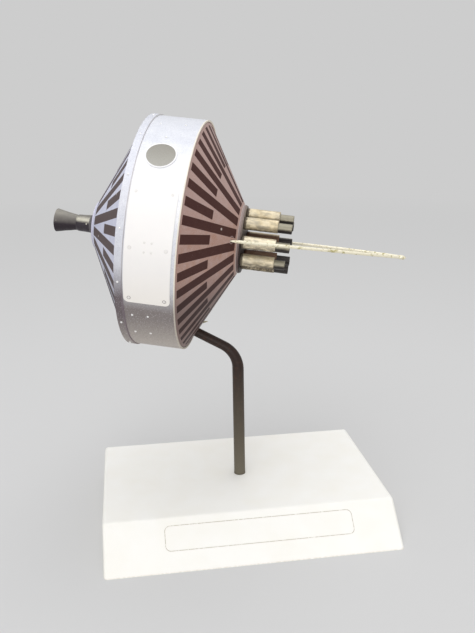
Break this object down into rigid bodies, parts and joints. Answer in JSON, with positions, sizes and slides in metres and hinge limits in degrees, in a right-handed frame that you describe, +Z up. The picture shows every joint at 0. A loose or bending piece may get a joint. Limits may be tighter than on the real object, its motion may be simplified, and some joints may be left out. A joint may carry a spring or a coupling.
{
  "type": "space probe display model",
  "caption": "Card model of a drum-shaped space probe with striped cones at both ends, a motor bell, a ring of small rockets and a V antenna, held by a bent rod on a desk plinth.",
  "frame": {"origin": "centre of the plinth's footprint, on its underside", "axes": "+Z up, +X along the plinth to the right as seen from its sloped front, which faces -Y; the probe's antenna end points to +X, turned a little to the front and dipped a little"},
  "size_m": [0.1105, 0.0819, 0.1351],
  "materials": {
    "plinth_card": "smooth white card with soft folds",
    "rod_black": "semi-gloss black paint",
    "drum_print": "printed mottled grey metal",
    "rim_print": "printed grey metal with rivets",
    "panel_white": "printed white panel",
    "window_grey": "printed grey glass",
    "window_white": "printed white ring",
    "fore_cone_print": "mauve card with dark radial bars",
    "aft_cone_print": "lavender card with dark radial bars",
    "end_disc_grey": "dark grey card",
    "motor_black": "glossy black",
    "collar_grey": "grey card edge",
    "plate_black": "matt black",
    "case_foil": "crinkled foil, dull gold and silver",
    "nozzle_black": "black tube, worn edges",
    "antenna_silver": "brushed silver paint"
  },
  "bodies": {
    "root": {"plinth_cover": "plinth_card", "plinth_floor": "plinth_card", "support_rod": "rod_black", "drum_band": "drum_print", "aft_rim_band": "rim_print", "access_panel": "panel_white", "window_disc": "window_grey", "window_ring": "window_white", "fore_cone": "fore_cone_print", "aft_cone": "aft_cone_print", "aft_end_disc": "end_disc_grey", "motor_collar": "motor_black", "motor_neck": "motor_black", "motor_bell": "motor_black", "end_collar": "collar_grey", "end_plate": "plate_black", "antenna_rod_near": "antenna_silver", "antenna_rod_far": "antenna_silver", "antenna_tip": "antenna_silver", "rocket_case_1": "case_foil", "rocket_nozzle_1": "nozzle_black", "rocket_case_2": "case_foil", "rocket_nozzle_2": "nozzle_black", "rocket_case_3": "case_foil", "rocket_nozzle_3": "nozzle_black", "rocket_case_4": "case_foil", "rocket_nozzle_4": "nozzle_black", "rocket_case_5": "case_foil", "rocket_nozzle_5": "nozzle_black", "rocket_case_6": "case_foil", "rocket_nozzle_6": "nozzle_black", "rocket_case_7": "case_foil", "rocket_nozzle_7": "nozzle_black", "rocket_case_8": "case_foil", "rocket_nozzle_8": "nozzle_black"}
  },
  "joints": []
}
